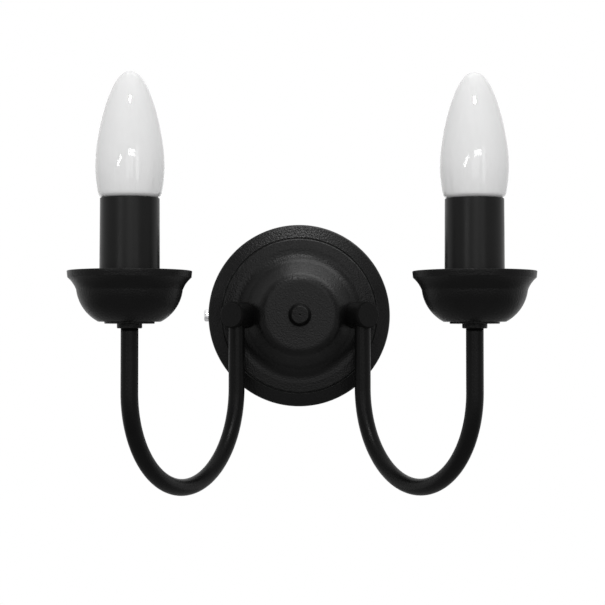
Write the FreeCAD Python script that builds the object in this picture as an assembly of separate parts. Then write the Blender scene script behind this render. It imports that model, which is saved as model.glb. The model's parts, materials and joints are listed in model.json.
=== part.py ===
import FreeCAD, Part
import math
import os

# Double arm wall sconce, in millimetres.
# The origin is the centre of the wall screw slots, on the wall.
# +X is right, +Z is up, and the light stands out from the wall along -Y.
# A depth is a distance from the wall, so a depth of 5 is y = -5.

# Canopy, the round stepped cover on the wall.
canopy_diameter = 103.5
canopy_depth = 27.5
canopy_sheet = 1.0
rim_height = 8.6
rim_edge_radius = 1.5
step_diameter = 88.8
step_foot_depth = 10.9
step_height = 1.4
step_slope = 0.5
step_foot_radius = 0.4
step_edge_radius = 0.7
bead_inner_diameter = 72.6
bead_rise = 0.4
bead_radius = 3.0
dome_foot_diameter = 60.0
dome_foot_depth = 9.8
dome_foot_radius = 5.5
dome_face_diameter = 41.6
dome_shoulder_radius = 4.5

# Arms.
leg_offset = 35.3
leg_depth = 24.0
arm_splay = 30.5
bend_radius = 51.5
bend_centre_height = -40.9
tube_diameter = 9.0
tube_bore = 6.0
tube_thread_diameter = 8.0
tube_thread_length = 13.0

# Knuckles, the barrels that carry the arms on the canopy.
knuckle_diameter = 15.0
knuckle_front = 6.0
knuckle_front_chamfer = 0.9
knuckle_bore = 6.6
knuckle_bore_end = 3.6
knuckle_socket_top = -3.4
tail_diameter = 10.0
tail_end_room = 0.6
knuckle_nut_flats = 14.0
knuckle_nut_thickness = 2.5
knuckle_washer_diameter = 16.0
knuckle_washer_thickness = 1.0

# Candle cups and what clamps them.
collar_bottom = -8.4
collar_height = 2.4
collar_diameter = 12.8
collar_chamfer = 0.5
cup_washer_diameter = 25.4
cup_washer_thickness = 1.0
cup_sheet = 0.9
cup_floor_diameter = 31.7
cup_bowl_radius = 21.0
cup_bowl_height = 16.1
cup_waist_diameter = 53.8
cup_cove_point_diameter = 56.6
cup_cove_point_height = 18.9
cup_lip_foot_diameter = 62.7
cup_lip_foot_height = 22.4
cup_rim_diameter = 63.4
cup_height = 25.8
cup_rim_radius = 0.36
cup_nut_flats = 13.0
cup_nut_thickness = 4.0

# Candle sleeves.
sleeve_top_height = 57.7
sleeve_top_diameter = 30.2
sleeve_bottom_diameter = 30.8
sleeve_wall = 0.7
sleeve_edge_radius = 0.45

# Lampholders, for the small screw cap of candle bulbs.
holder_base_height = 18.0
holder_height = 26.0
holder_diameter = 23.0
holder_flange_diameter = 28.0
holder_flange_height = 4.0
holder_mouth_depth = 5.5
holder_mouth_diameter = 18.6
contact_chamber_diameter = 13.0
contact_floor = 3.2
terminal_offset = 7.5
terminal_screw_diameter = 3.0
terminal_screw_height = 4.6
terminal_screw_recess = 0.4
terminal_slot_width = 0.6
terminal_slot_depth = 0.7
holder_flange_chamfer = 0.8
stirrup_width = 9.0
stirrup_sheet = 1.2
stirrup_top_height = 31.0
lug_width = 4.0
lug_height = 4.0
lug_length = 1.3
lug_drop = 2.0
contact_width = 4.0
contact_sheet = 0.5
contact_foot_room = 0.4
contact_slope_length = 1.5

# Screw cap thread, one pitch and two radial fits.
thread_pitch = 2.822
cap_thread_diameter = 13.86
cap_root_diameter = 12.2
cap_wall = 0.4
cap_thread_turns = 3.5
cap_thread_start = 4.8
cap_length = 25.0
cap_flange_diameter = 17.0
cap_lip_height = 1.2
cap_skirt_length = 5.5
cap_thread_width = 1.3
shell_thread_width = 0.9
shell_turns = 3.5
shell_wall = 0.5
thread_clearance = 0.13
thread_crest_share = 0.55
thread_root_sink = 0.15

# Bulbs. A height here is above the bulb's base, which sits on the lampholder's contact.
contact_rise = 1.2
bulb_length = 100.0
bulb_diameter = 35.0
bulb_widest_height = 51.6
glass_wall = 0.8
neck_diameter = 15.4
neck_bottom_height = 22.1
neck_length = 2.5
neck_pull = 8.8
throat_low_pull = (21.1, 41.1)
throat_high_pull = (12.4, 32.5)
belly_low_pull = 15.4
belly_high_pull = 15.2
shoulder_pull_radius = 12.5
shoulder_pull_drop = 14.4
tip_pull = 7.8
tip_contact_diameter = 5.0
tip_contact_height = 1.6
insulator_diameter = 11.2
insulator_rim = 0.6
stem_diameter = 4.0
stem_flare_height = 6.0
stem_length = 17.5
stem_cap_thickness = 2.0
filament_height = 61.6
filament_span = 12.0
filament_rise = 5.0
lead_diameter = 0.7
lead_foot_length = 4.0
lead_top_length = 6.0
lead_turn_radius = 2.0

# Centre button, the cap over the middle hole.
button_base_diameter = 12.8
button_face_diameter = 9.4
button_height = 5.2
button_base_height = 1.0
button_edge_radius = 0.4
dimple_diameter = 1.2
dimple_depth = 0.5
button_stem_diameter = 5.0
button_stem_length = 8.0
button_washer_diameter = 12.0
button_washer_thickness = 1.0
button_nut_flats = 8.0
button_nut_thickness = 4.0

# Wall bracket and what it carries.
bracket_sheet = 2.0
strap_width = 18.0
slot_spacing = 50.8
slot_length = 12.0
slot_width = 4.8
ear_width = 12.0
ear_height = 7.3
ear_screw_depth = 4.3
side_screw_diameter = 3.5
side_screw_head_diameter = 6.8
side_screw_head_height = 2.5
side_screw_length = 8.0
side_screw_slot_width = 0.9
side_screw_slot_depth = 0.9
peg_diameter = 3.4
peg_clearance = 0.2
tab_width = 22.0
tab_top = 27.0
bushing_bore = 8.0
bushing_diameter = 12.0
bushing_flange_diameter = 16.0
bushing_flange_thickness = 1.5
earth_screw_offset = 14.0
earth_screw_drop = 4.6
earth_screw_diameter = 4.0
earth_screw_head_diameter = 7.0
earth_screw_head_height = 2.4
earth_screw_slot = 1.0

# Terminal block for the supply.
block_width = 16.0
block_height = 16.0
block_depth = 9.0
block_bottom = 9.8
block_edge_radius = 0.8
pole_pitch = 8.0
pole_diameter = 4.4
pole_length = 13.0
pole_depth = 4.8
pole_screw_diameter = 2.6
pole_screw_offset = 4.0
pole_screw_recess = 0.6
pole_screw_slot_width = 0.5
pole_screw_slot_depth = 0.6
block_screw_diameter = 2.4
block_screw_head_diameter = 5.0
block_screw_head_height = 1.5
block_screw_recess = 0.4
block_screw_slot = 0.7

# Wires.
wire_diameter = 2.2
wire_gap = 0.3
wire_lane_depth = 4.8
wire_block_reach = 1.2
wire_block_radius = 5.0
wire_turn_radius = 3.0
wire_spread_radius = 6.0
wire_spread_start = 6.5
wire_spread_end = 14.0
wire_entry_radius = 3.0
wire_entry_length = 5.8

# Nuts are chamfered by this share of their width across flats.
nut_corner_share = 0.06

# Clearances.
fit = 0.05
seat = 0.15
screw_room = 0.15
hole_room = 0.25

# Values that follow from the ones above.
splay = math.radians(arm_splay)
canopy_radius = canopy_diameter / 2
cup_underside = collar_bottom + collar_height + cup_washer_thickness
cup_floor_top = cup_underside + cup_sheet
lamp_reach = 2 * bend_radius
bulb_base = holder_base_height + contact_floor + contact_rise
bulb_tip = bulb_base + bulb_length
neck_bottom = bulb_base + neck_bottom_height
stem_top = neck_bottom + stem_length
filament_level = bulb_base + filament_height
shell_bore = cap_thread_diameter + 2 * thread_clearance
shell_crest = cap_root_diameter + 2 * thread_clearance
shell_diameter = shell_bore + 2 * shell_wall
shell_bottom = bulb_base + cap_thread_start
up = FreeCAD.Vector(0, 0, 1)
front = FreeCAD.Vector(0, -1, 0)
right = FreeCAD.Vector(1, 0, 0)


def point(x, y, z):
    return FreeCAD.Vector(x, y, z)


def rod(radius, length, start, direction):
    return Part.makeCylinder(radius, length, start, direction)


def bored_rod(radius, bore, length, start, direction):
    return rod(radius, length, start, direction).cut(rod(bore, length, start, direction))


def hex_nut(flats, bore, thickness, start):
    # The nut's axis is +Z and start is the middle of its lower face.
    corner = flats / math.sqrt(3)
    corners = [point(corner * math.cos(k * math.pi / 3), corner * math.sin(k * math.pi / 3), 0) for k in range(7)]
    body = Part.Face(Part.makePolygon(corners)).extrude(point(0, 0, thickness))
    round_off = rod(corner, thickness, point(0, 0, 0), up)
    edge = [e for e in round_off.Edges if isinstance(e.Curve, Part.Circle)]
    body = body.common(round_off.makeChamfer(nut_corner_share * flats, edge))
    body = body.cut(rod(bore / 2, thickness, point(0, 0, 0), up))
    body.translate(start)
    return body


def along(shape, direction, start):
    # Turns a shape built on +Z so that its axis points along direction.
    turned = shape.copy()
    turned.Placement = FreeCAD.Placement(start, FreeCAD.Rotation(up, direction)).multiply(turned.Placement)
    return turned


def corner_arc(before, corner, after, radius):
    # The arc that rounds a corner, and its two ends.
    back = (before - corner).normalize()
    ahead = (after - corner).normalize()
    turn = math.pi - back.getAngle(ahead)
    reach = radius * math.tan(turn / 2)
    start = corner + back * reach
    end = corner + ahead * reach
    inward = (back + ahead).normalize()
    middle = corner + inward * (radius / math.cos(turn / 2) - radius)
    return start, middle, end


def rounded_path(points, radii):
    # Straight runs joined by tangent arcs. radii holds one value for each inner point.
    edges = []
    last = points[0]
    for before, corner, after, radius in zip(points, points[1:], points[2:], radii):
        start, middle, end = corner_arc(before, corner, after, radius)
        if last.distanceToPoint(start) > 1e-4:
            edges.append(Part.LineSegment(last, start).toShape())
        edges.append(Part.Arc(start, middle, end).toShape())
        last = end
    edges.append(Part.LineSegment(last, points[-1]).toShape())
    return Part.Wire(edges)


def spun(wire_or_edges):
    # Revolves a closed outline in the XZ plane about the Z axis.
    return Part.Face(Part.Wire(wire_or_edges)).revolve(point(0, 0, 0), up, 360)


def spun_polygon(pairs):
    # A solid of revolution from (radius, height) corners.
    corners = [point(r, 0, z) for r, z in pairs]
    return spun(Part.makePolygon(corners + corners[:1]).Edges)


def bolt(diameter, length, head_diameter, head_height, slot_width, slot_depth):
    # A pan head screw on +Z with its head's seat at the origin and its shank below.
    head = rod(head_diameter / 2, head_height, point(0, 0, 0), up)
    top = [e for e in head.Edges if isinstance(e.Curve, Part.Circle) and e.CenterOfMass.z > head_height / 2]
    head = head.makeFillet(0.45 * head_height, top)
    slot = Part.makeBox(head_diameter, slot_width, slot_depth)
    slot.translate(point(-head_diameter / 2, -slot_width / 2, head_height - slot_depth))
    shank = rod(diameter / 2, length, point(0, 0, -length), up)
    return head.cut(slot).fuse(shank).removeSplitter()


def grub_screw(diameter, length, slot_width, slot_depth):
    # A headless screw on +Z from the origin, slotted at its far end.
    slot_start = point(-diameter / 2, -slot_width / 2, length - slot_depth)
    slot = Part.makeBox(diameter, slot_width, slot_depth, slot_start)
    return rod(diameter / 2, length, point(0, 0, 0), up).cut(slot)


# Canopy.

def canopy_outline():
    # The outer outline from the wall to the middle, as radius along X and depth along Z.
    corners = [
        point(canopy_radius, 0, 0),
        point(canopy_radius, 0, rim_height),
        point(step_diameter / 2 + step_slope, 0, step_foot_depth),
        point(step_diameter / 2, 0, step_foot_depth + step_height),
        point(bead_inner_diameter / 2, 0, step_foot_depth + step_height + bead_rise),
        point(dome_foot_diameter / 2, 0, dome_foot_depth),
        point(dome_face_diameter / 2, 0, canopy_depth),
        point(0, 0, canopy_depth),
    ]
    radii = [
        rim_edge_radius,
        step_foot_radius,
        step_edge_radius,
        bead_radius,
        dome_foot_radius,
        dome_shoulder_radius,
    ]
    return rounded_path(corners, radii)


def end_points(wire):
    ends = [v.Point for v in wire.OrderedVertexes]
    return ends[0], ends[-1]


def widened(outline, grow):
    # The outline moved outwards by grow, or inwards where grow is negative.
    one = outline.makeOffset2D(abs(grow), 2, False, True)
    other = outline.makeOffset2D(-abs(grow), 2, False, True)
    narrow, wide = sorted((one, other), key=lambda w: w.BoundBox.XMax)
    return wide if grow > 0 else narrow


def canopy_block(grow):
    # Everything inside the canopy's outer surface, grown or shrunk by an even amount.
    outline = canopy_outline()
    if grow:
        outline = widened(outline, grow)
    first, last = end_points(outline)
    if first.x < last.x:
        first, last = last, first
    closing = [
        Part.LineSegment(last, point(0, 0, last.z)).toShape() if last.x > 1e-6 else None,
        Part.LineSegment(point(0, 0, last.z), point(0, 0, first.z)).toShape(),
        Part.LineSegment(point(0, 0, first.z), first).toShape(),
    ]
    edges = outline.Edges + [e for e in closing if e]
    solid = spun(Part.__sortEdges__(edges))
    return along(solid, front, point(0, 0, 0))


def make_canopy(block, hollow):
    shell = block.cut(hollow)
    shell = shell.cut(rod(button_stem_diameter / 2 + hole_room, 2 * canopy_depth, point(0, 0, 0), front))
    side_hole = rod(side_screw_diameter / 2 + hole_room, canopy_diameter, point(0, -ear_screw_depth, 0), right * -1)
    peg_hole = rod(peg_diameter / 2 + peg_clearance, canopy_diameter, point(0, -ear_screw_depth, 0), right)
    shell = shell.cut(side_hole).cut(peg_hole)
    for side in (-1, 1):
        axis = arm_direction(side)
        shell = shell.cut(rod(tail_diameter / 2 + hole_room, lamp_reach, leg_spot(side) - axis * lamp_reach, axis))
    return shell


# Wall bracket.

def make_bracket():
    # The strap's corners stop just short of the canopy's inner wall.
    inner_radius = canopy_radius - canopy_sheet
    half = math.sqrt(inner_radius ** 2 - (strap_width / 2) ** 2) - seat
    strap = Part.makeBox(2 * half, bracket_sheet, strap_width, point(-half, -bracket_sheet, -strap_width / 2))
    tab = Part.makeBox(tab_width, bracket_sheet, tab_top, point(-tab_width / 2, -bracket_sheet, 0))
    bracket = strap.fuse(tab)
    for ear_x in (-half, half - bracket_sheet):
        ear = Part.makeBox(bracket_sheet, ear_height, ear_width, point(ear_x, -ear_height, -ear_width / 2))
        bracket = bracket.fuse(ear)
    peg = rod(peg_diameter / 2, canopy_radius - half - peg_clearance, point(half, -ear_screw_depth, 0), right)
    bracket = bracket.fuse(peg).removeSplitter()
    tapped = rod(side_screw_diameter / 2 + fit, 2 * bracket_sheet, point(-half - fit, -ear_screw_depth, 0), right)
    bracket = bracket.cut(tapped)
    for side in (-1, 1):
        bracket = bracket.cut(wall_slot(side * slot_spacing / 2))
    bracket = bracket.cut(rod(bushing_diameter / 2 + fit, bracket_sheet, point(0, 0, 0), front))
    bracket = bracket.cut(rod(earth_screw_diameter / 2 + fit, bracket_sheet, earth_spot(0), front))
    bracket = bracket.cut(rod(block_screw_diameter / 2 + fit, bracket_sheet, block_spot(0), front))
    return bracket


def wall_slot(x):
    run = (slot_length - slot_width) / 2
    slot = Part.makeBox(2 * run, bracket_sheet, slot_width, point(x - run, -bracket_sheet, -slot_width / 2))
    for end in (-run, run):
        slot = slot.fuse(rod(slot_width / 2, bracket_sheet, point(x + end, 0, 0), front))
    return slot


def earth_spot(depth):
    return point(-earth_screw_offset, -depth, -earth_screw_drop)


def block_spot(depth):
    return point(0, -depth, block_bottom + block_height / 2)


def make_bushing():
    flange_start = point(0, -bracket_sheet, 0)
    barrel = bored_rod(bushing_diameter / 2, bushing_bore / 2, bracket_sheet, point(0, 0, 0), front)
    flange = bored_rod(bushing_flange_diameter / 2, bushing_bore / 2, bushing_flange_thickness, flange_start, front)
    return barrel.fuse(flange).removeSplitter()


def make_earth_screw():
    screw = bolt(
        earth_screw_diameter,
        bracket_sheet,
        earth_screw_head_diameter,
        earth_screw_head_height,
        earth_screw_slot,
        earth_screw_slot,
    )
    return along(screw, front, earth_spot(bracket_sheet))


def make_side_screw():
    screw = bolt(
        side_screw_diameter,
        side_screw_length,
        side_screw_head_diameter,
        side_screw_head_height,
        side_screw_slot_width,
        side_screw_slot_depth,
    )
    return along(screw, right * -1, point(-canopy_radius - fit, -ear_screw_depth, 0))


# Terminal block.

def pole_heights():
    middle = block_bottom + block_height / 2
    return [middle - pole_pitch / 2, middle + pole_pitch / 2]


def pole_screw_spots(depth):
    return [point(side * pole_screw_offset, -depth, z) for z in pole_heights() for side in (-1, 1)]


def make_terminal_block():
    block = Part.makeBox(
        block_width,
        block_depth,
        block_height,
        point(-block_width / 2, -bracket_sheet - block_depth, block_bottom),
    )
    long_edges = [e for e in block.Edges if abs(e.tangentAt(e.FirstParameter).y) > 0.9]
    block = block.makeFillet(block_edge_radius, long_edges)
    for z in pole_heights():
        start = point(-block_width / 2, -pole_depth, z)
        block = block.cut(rod(pole_diameter / 2 + fit, block_width, start, right))
    for spot in pole_screw_spots(pole_depth):
        block = block.cut(rod(pole_screw_diameter / 2 + screw_room, block_depth, spot, front))
    head = rod(block_screw_head_diameter / 2 + screw_room, block_depth, block_head_spot(), front)
    shank = rod(block_screw_diameter / 2 + screw_room, canopy_depth, point(0, 0, block_spot(0).z), front)
    return block.cut(head).cut(shank)


def block_head_spot():
    return block_spot(bracket_sheet + block_depth - block_screw_head_height - block_screw_recess)


def make_terminal_inserts():
    inserts = []
    for z in pole_heights():
        start = point(-pole_length / 2, -pole_depth, z)
        insert = bored_rod(pole_diameter / 2, wire_diameter / 2 + seat, pole_length, start, right)
        for spot in pole_screw_spots(pole_depth):
            if abs(spot.z - z) < 0.1:
                insert = insert.cut(rod(pole_screw_diameter / 2 + fit, pole_diameter, spot, front))
        inserts.append(insert)
    return Part.makeCompound(inserts)


def make_terminal_screws():
    start = pole_depth + wire_diameter / 2 + fit
    length = bracket_sheet + block_depth - pole_screw_recess - start
    screw = grub_screw(pole_screw_diameter, length, pole_screw_slot_width, pole_screw_slot_depth)
    return Part.makeCompound([along(screw, front, spot) for spot in pole_screw_spots(start)])


def make_block_screw():
    screw = bolt(
        block_screw_diameter,
        -block_head_spot().y,
        block_screw_head_diameter,
        block_screw_head_height,
        block_screw_slot,
        block_screw_slot,
    )
    return along(screw, front, block_head_spot())


# Centre button.

def make_button():
    corners = [
        point(0, 0, 0),
        point(button_base_diameter / 2, 0, 0),
        point(button_base_diameter / 2, 0, button_base_height),
        point(button_face_diameter / 2, 0, button_height),
        point(0, 0, button_height),
    ]
    outline = rounded_path(corners, [0.05, button_edge_radius, button_edge_radius])
    closing = Part.LineSegment(corners[-1], corners[0]).toShape()
    button = spun(outline.Edges + [closing])
    button = button.fuse(rod(button_stem_diameter / 2, button_stem_length, point(0, 0, -button_stem_length), up))
    button = button.cut(Part.makeCone(0, dimple_diameter / 2, dimple_depth, point(0, 0, button_height - dimple_depth), up))
    return along(button.removeSplitter(), front, point(0, -canopy_depth, 0))


def make_button_washer():
    start = point(0, -(canopy_depth - canopy_sheet), 0)
    return bored_rod(
        button_washer_diameter / 2,
        button_stem_diameter / 2 + screw_room,
        button_washer_thickness,
        start,
        front * -1,
    )


def make_button_nut():
    nut = hex_nut(button_nut_flats, button_stem_diameter + 2 * fit, button_nut_thickness, point(0, 0, 0))
    start = point(0, -(canopy_depth - canopy_sheet - button_washer_thickness), 0)
    return along(nut, front * -1, start)


# Arms. Each arm lies in an upright plane that splays out from the wall.

def arm_direction(side):
    return point(side * math.sin(splay), -math.cos(splay), 0)


def arm_outward(side):
    return point(side * math.cos(splay), math.sin(splay), 0)


def leg_spot(side):
    return point(side * leg_offset, -leg_depth, 0)


def arm_point(side, reach, across, height):
    return leg_spot(side) + arm_direction(side) * reach + arm_outward(side) * across + up * height


def lamp_spot(side):
    return arm_point(side, lamp_reach, 0, 0)


def on_lamp(shape, side):
    # Places a shape built about the Z axis on a lamp, with its +X along the arm.
    turned = shape.copy()
    turn = FreeCAD.Rotation(right, arm_direction(side))
    turned.Placement = FreeCAD.Placement(lamp_spot(side), turn).multiply(turned.Placement)
    return turned


def swept(path, diameter):
    start = path.OrderedVertexes[0].Point
    ahead = path.OrderedEdges[0].tangentAt(path.OrderedEdges[0].FirstParameter)
    if path.OrderedEdges[0].valueAt(path.OrderedEdges[0].FirstParameter).distanceToPoint(start) > 1e-4:
        ahead = path.OrderedEdges[0].tangentAt(path.OrderedEdges[0].LastParameter) * -1
    ring = Part.Wire(Part.Circle(start, ahead, diameter / 2).toShape())
    return path.makePipeShell([ring], True, False)


def make_arm_tube(side):
    bend_bottom = bend_centre_height - bend_radius
    corners = [
        arm_point(side, 0, 0, knuckle_socket_top),
        arm_point(side, 0, 0, bend_bottom),
        arm_point(side, lamp_reach, 0, bend_bottom),
        arm_point(side, lamp_reach, 0, collar_bottom),
    ]
    path = rounded_path(corners, [bend_radius, bend_radius])
    thread_start = lamp_spot(side) + up * collar_bottom
    thread = rod(tube_thread_diameter / 2, tube_thread_length, thread_start, up)
    tube = swept(path, tube_diameter).fuse(thread)
    bore = swept(path, tube_bore).fuse(rod(tube_bore / 2, tube_thread_length, thread_start, up))
    return tube.cut(bore).removeSplitter()


# Knuckles, built along +Z from the back of the shell to the front face.

def washer_back(side, shell):
    # How far behind the leg's axis the washer's flat face meets the canopy's inner side.
    trial = lamp_reach / 3
    axis = arm_direction(side)
    disc = rod(knuckle_washer_diameter / 2, fit, leg_spot(side) - axis * trial, axis)
    return trial - disc.distToShape(shell)[0] + seat / 2


def tail_end(side, shell):
    return washer_back(side, shell) + knuckle_washer_thickness + knuckle_nut_thickness + tail_end_room


def make_knuckle(side, grown_block, shell):
    axis = arm_direction(side)
    face = leg_spot(side) + axis * knuckle_front
    barrel_length = knuckle_front + washer_back(side, shell)
    barrel = rod(knuckle_diameter / 2, barrel_length, face, axis * -1)
    face_edge = [e for e in barrel.Edges if isinstance(e.Curve, Part.Circle) and (e.Curve.Center - face).Length < 1]
    barrel = barrel.makeChamfer(knuckle_front_chamfer, face_edge).cut(grown_block)
    tail = rod(tail_diameter / 2, tail_end(side, shell), leg_spot(side), axis * -1)
    bore_start = leg_spot(side) + axis * knuckle_bore_end
    bore = rod(knuckle_bore / 2, 2 * knuckle_bore_end + tail_end(side, shell), bore_start, axis * -1)
    socket = rod(tube_diameter / 2 + fit, knuckle_diameter, arm_point(side, 0, 0, knuckle_socket_top), up * -1)
    passage = rod(tube_bore / 2, -knuckle_socket_top, leg_spot(side), up * -1)
    return barrel.fuse(tail).cut(bore).cut(socket).cut(passage).removeSplitter()


def make_knuckle_washer(side, shell):
    start = leg_spot(side) - arm_direction(side) * washer_back(side, shell)
    return bored_rod(
        knuckle_washer_diameter / 2,
        tail_diameter / 2 + screw_room,
        knuckle_washer_thickness,
        start,
        arm_direction(side) * -1,
    )


def make_knuckle_nut(side, shell):
    nut = hex_nut(knuckle_nut_flats, tail_diameter + 2 * fit, knuckle_nut_thickness, point(0, 0, 0))
    reach = washer_back(side, shell) + knuckle_washer_thickness
    return along(nut, arm_direction(side) * -1, leg_spot(side) - arm_direction(side) * reach)


# Candle cup and its hardware, built about the lamp's axis.

def make_collar():
    start = point(0, 0, collar_bottom)
    collar = rod(collar_diameter / 2, collar_height, start, up)
    low = [e for e in collar.Edges if isinstance(e.Curve, Part.Circle) and e.CenterOfMass.z < collar_bottom + 0.1]
    collar = collar.makeChamfer(collar_chamfer, low)
    return collar.cut(rod(tube_thread_diameter / 2 + fit, collar_height, start, up))


def make_cup_washer():
    start = point(0, 0, collar_bottom + collar_height)
    return bored_rod(
        cup_washer_diameter / 2,
        tube_thread_diameter / 2 + fit,
        cup_washer_thickness,
        start,
        up,
    )


def cup_outline():
    # From the edge of the flat floor up the bowl, out along the cove and up the lip.
    base = cup_underside
    floor = cup_floor_diameter / 2
    waist = cup_waist_diameter / 2
    half_chord = math.hypot(waist - floor, cup_bowl_height) / 2
    bulge = cup_bowl_radius - math.sqrt(cup_bowl_radius ** 2 - half_chord ** 2)
    slope = math.atan2(cup_bowl_height, waist - floor)
    bowl_middle = point(
        (floor + waist) / 2 + bulge * math.sin(slope),
        0,
        base + cup_bowl_height / 2 - bulge * math.cos(slope),
    )
    bowl = Part.Arc(point(floor, 0, base), bowl_middle, point(waist, 0, base + cup_bowl_height))
    cove = Part.Arc(
        point(waist, 0, base + cup_bowl_height),
        point(cup_cove_point_diameter / 2, 0, base + cup_cove_point_height),
        point(cup_lip_foot_diameter / 2, 0, base + cup_lip_foot_height),
    )
    lip = Part.LineSegment(
        point(cup_lip_foot_diameter / 2, 0, base + cup_lip_foot_height),
        point(cup_rim_diameter / 2, 0, base + cup_height),
    )
    flat = Part.LineSegment(point(tube_thread_diameter / 2 + fit, 0, base), point(floor, 0, base))
    return Part.Wire([flat.toShape(), bowl.toShape(), cove.toShape(), lip.toShape()])


def make_cup():
    outer = cup_outline()
    inner = widened(outer, -cup_sheet)
    low_outer, high_outer = sorted(end_points(outer), key=lambda p: p.z)
    low_inner, high_inner = sorted(end_points(inner), key=lambda p: p.z)
    foot = Part.LineSegment(low_outer, low_inner).toShape()
    top = Part.LineSegment(high_outer, high_inner).toShape()
    cup = spun(Part.__sortEdges__(outer.Edges + inner.Edges + [foot, top]))
    rim = [e for e in cup.Edges if isinstance(e.Curve, Part.Circle) and e.Curve.Center.z > high_inner.z - 0.2]
    return cup.makeFillet(cup_rim_radius, rim)


def make_cup_nut():
    start = point(0, 0, cup_floor_top + stirrup_sheet)
    return hex_nut(cup_nut_flats, tube_thread_diameter + 2 * fit, cup_nut_thickness, start)


def make_sleeve():
    bottom = cup_floor_top
    low = sleeve_bottom_diameter / 2
    high = sleeve_top_diameter / 2
    sleeve = spun_polygon([
        (low - sleeve_wall, bottom),
        (low, bottom),
        (high, sleeve_top_height),
        (high - sleeve_wall, sleeve_top_height),
    ])
    top_edge = [
        e for e in sleeve.Edges
        if isinstance(e.Curve, Part.Circle)
        and e.Curve.Center.z > sleeve_top_height - 0.1
        and e.Curve.Radius > high - sleeve_wall / 2
    ]
    return sleeve.makeFillet(sleeve_edge_radius, top_edge)


# Lampholder.

def holder_radius_inside():
    return holder_diameter / 2 + fit


def make_stirrup():
    # A strap bent up on both sides, with a window in each leg for the holder's lug.
    leg = holder_radius_inside()
    half = leg + stirrup_sheet
    base = Part.makeBox(2 * half, stirrup_width, stirrup_sheet, point(-half, -stirrup_width / 2, cup_floor_top))
    stirrup = base
    for start in (-half, leg):
        height = stirrup_top_height - cup_floor_top
        stirrup = stirrup.fuse(
            Part.makeBox(stirrup_sheet, stirrup_width, height, point(start, -stirrup_width / 2, cup_floor_top))
        )
    stirrup = stirrup.removeSplitter()
    window = Part.makeBox(
        4 * half,
        lug_width + 2 * fit,
        lug_height + 2 * fit,
        point(-2 * half, -lug_width / 2 - fit, lug_bottom() - fit),
    )
    hole = rod(tube_thread_diameter / 2 + fit, stirrup_sheet, point(0, 0, cup_floor_top), up)
    return stirrup.cut(window).cut(hole)


def lug_bottom():
    return stirrup_top_height - lug_drop - lug_height


def contact_level():
    return holder_base_height + contact_floor


def make_holder():
    top = holder_base_height + holder_height
    body = rod(holder_diameter / 2, holder_height, point(0, 0, holder_base_height), up)
    flange = rod(
        holder_flange_diameter / 2,
        holder_flange_height,
        point(0, 0, top - holder_flange_height),
        up,
    )
    edge = [e for e in flange.Edges if isinstance(e.Curve, Part.Circle)]
    body = body.fuse(flange.makeChamfer(holder_flange_chamfer, edge))
    for direction in (-1, 1):
        lug = Part.makeBox(
            holder_diameter / 2 + fit + lug_length,
            lug_width,
            lug_height,
            point(0, -lug_width / 2, lug_bottom()),
        )
        lug.rotate(point(0, 0, 0), up, 0 if direction > 0 else 180)
        body = body.fuse(lug)
    shell_room = rod(shell_diameter / 2 + fit, top, point(0, 0, shell_bottom), up)
    mouth = rod(holder_mouth_diameter / 2, holder_mouth_depth, point(0, 0, top - holder_mouth_depth), up)
    chamber = rod(
        contact_chamber_diameter / 2,
        shell_bottom - contact_level(),
        point(0, 0, contact_level()),
        up,
    )
    body = body.removeSplitter().cut(shell_room).cut(mouth).cut(chamber)
    for direction in (-1, 1):
        wire_way = rod(
            wire_diameter / 2 + seat,
            terminal_screw_height + terminal_screw_diameter / 2,
            point(0, direction * terminal_offset, holder_base_height),
            up,
        )
        screw_way = rod(
            terminal_screw_diameter / 2 + fit,
            holder_diameter,
            point(0, direction * terminal_offset, holder_base_height + terminal_screw_height),
            point(0, direction, 0),
        )
        body = body.cut(wire_way).cut(screw_way)
    return body


def make_holder_screws():
    start = terminal_offset + wire_diameter / 2 + fit
    length = holder_diameter / 2 - terminal_screw_recess - start
    screw = grub_screw(terminal_screw_diameter, length, terminal_slot_width, terminal_slot_depth)
    height = holder_base_height + terminal_screw_height
    screws = [along(screw, point(0, way, 0), point(0, way * start, height)) for way in (-1, 1)]
    return Part.makeCompound(screws)


def make_contact():
    # A brass tongue on the chamber's floor that rises to meet the bulb's tip.
    level = contact_level()
    tongue_top = bulb_base - fit
    foot = contact_chamber_diameter / 2 - contact_foot_room
    rise = tip_contact_diameter / 2
    outline = [
        point(0, foot, level),
        point(0, rise + contact_slope_length, level),
        point(0, rise, tongue_top - contact_sheet),
        point(0, -rise, tongue_top - contact_sheet),
        point(0, -rise, tongue_top),
        point(0, rise, tongue_top),
        point(0, rise + contact_slope_length, level + contact_sheet),
        point(0, foot, level + contact_sheet),
        point(0, foot, level),
    ]
    tongue = Part.Face(Part.makePolygon(outline)).extrude(point(contact_width, 0, 0))
    tongue.translate(point(-contact_width / 2, 0, 0))
    return tongue


# Screw threads.

def thread_ridge(root_radius, crest_radius, width, turns, start_height):
    # A helical ridge, tapered from its root to its crest. The root is sunk a little into its wall.
    sink = thread_root_sink if crest_radius > root_radius else -thread_root_sink
    base = root_radius - sink
    crest_half = thread_crest_share * width / 2
    outline = [
        point(base, 0, start_height - width / 2),
        point(crest_radius, 0, start_height - crest_half),
        point(crest_radius, 0, start_height + crest_half),
        point(base, 0, start_height + width / 2),
        point(base, 0, start_height - width / 2),
    ]
    helix = Part.makeHelix(thread_pitch, turns * thread_pitch, root_radius)
    helix.translate(point(0, 0, start_height))
    return Part.Wire(helix).makePipeShell([Part.makePolygon(outline)], True, True)


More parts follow.
